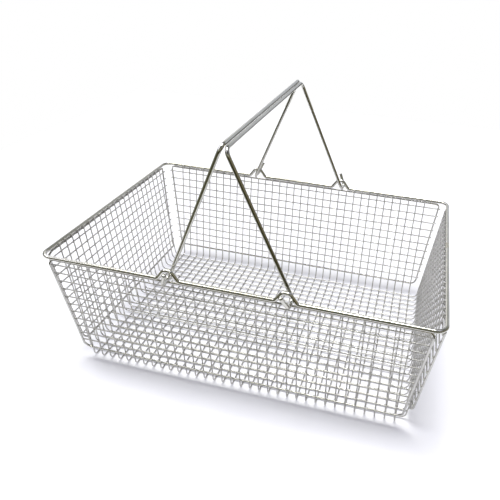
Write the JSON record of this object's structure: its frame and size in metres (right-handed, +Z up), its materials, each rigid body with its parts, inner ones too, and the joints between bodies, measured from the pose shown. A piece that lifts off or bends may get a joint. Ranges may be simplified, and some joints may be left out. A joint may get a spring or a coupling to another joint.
{
  "type": "sterilization basket",
  "caption": "Rectangular open wire mesh sterilization basket with flared walls, a thick rim rod and folding bail handles that meet above it.",
  "frame": {"origin": "on the ground, under the middle of the floor mesh", "axes": "+X along the basket towards the right end, +Y from the front wall to the back wall, +Z up"},
  "size_m": [0.4936, 0.369, 0.3419],
  "materials": {
    "mesh_steel": "electropolished, softly reflecting",
    "border_steel": "electropolished, softly reflecting",
    "rod_steel": "bright electropolished with clear reflections"
  },
  "bodies": {
    "basket": {"front_to_back_wires": "mesh_steel", "end_to_end_wires": "mesh_steel", "front_wire_02": "mesh_steel", "front_wire_03": "mesh_steel", "front_wire_04": "mesh_steel", "front_wire_05": "mesh_steel", "front_wire_06": "mesh_steel", "front_wire_07": "mesh_steel", "front_wire_08": "mesh_steel", "front_wire_09": "mesh_steel", "front_wire_10": "mesh_steel", "front_wire_11": "mesh_steel", "back_wire_02": "mesh_steel", "back_wire_03": "mesh_steel", "back_wire_04": "mesh_steel", "back_wire_05": "mesh_steel", "back_wire_06": "mesh_steel", "back_wire_07": "mesh_steel", "back_wire_08": "mesh_steel", "back_wire_09": "mesh_steel", "back_wire_10": "mesh_steel", "back_wire_11": "mesh_steel", "left_wire_02": "mesh_steel", "left_wire_03": "mesh_steel", "left_wire_04": "mesh_steel", "left_wire_05": "mesh_steel", "left_wire_06": "mesh_steel", "left_wire_07": "mesh_steel", "left_wire_08": "mesh_steel", "left_wire_09": "mesh_steel", "left_wire_10": "mesh_steel", "left_wire_11": "mesh_steel", "right_wire_02": "mesh_steel", "right_wire_03": "mesh_steel", "right_wire_04": "mesh_steel", "right_wire_05": "mesh_steel", "right_wire_06": "mesh_steel", "right_wire_07": "mesh_steel", "right_wire_08": "mesh_steel", "right_wire_09": "mesh_steel", "right_wire_10": "mesh_steel", "right_wire_11": "mesh_steel", "front_border": "border_steel", "back_border": "border_steel", "left_border": "border_steel", "right_border": "border_steel", "rim_rod": "rod_steel"},
    "left_bail": {"left_bail": "rod_steel"},
    "right_bail": {"right_bail": "rod_steel"}
  },
  "joints": [
    {"name": "left_bail_hinge", "type": "hinge", "parent": "basket", "child": "left_bail", "pos_m": [-0.075, 0, 0.17038], "axis": [0, -1, 0], "range_deg": [0, 110.7]},
    {"name": "right_bail_hinge", "type": "hinge", "parent": "basket", "child": "right_bail", "pos_m": [0.075, 0, 0.17038], "axis": [0, 1, 0], "range_deg": [0, 112.9]}
  ]
}
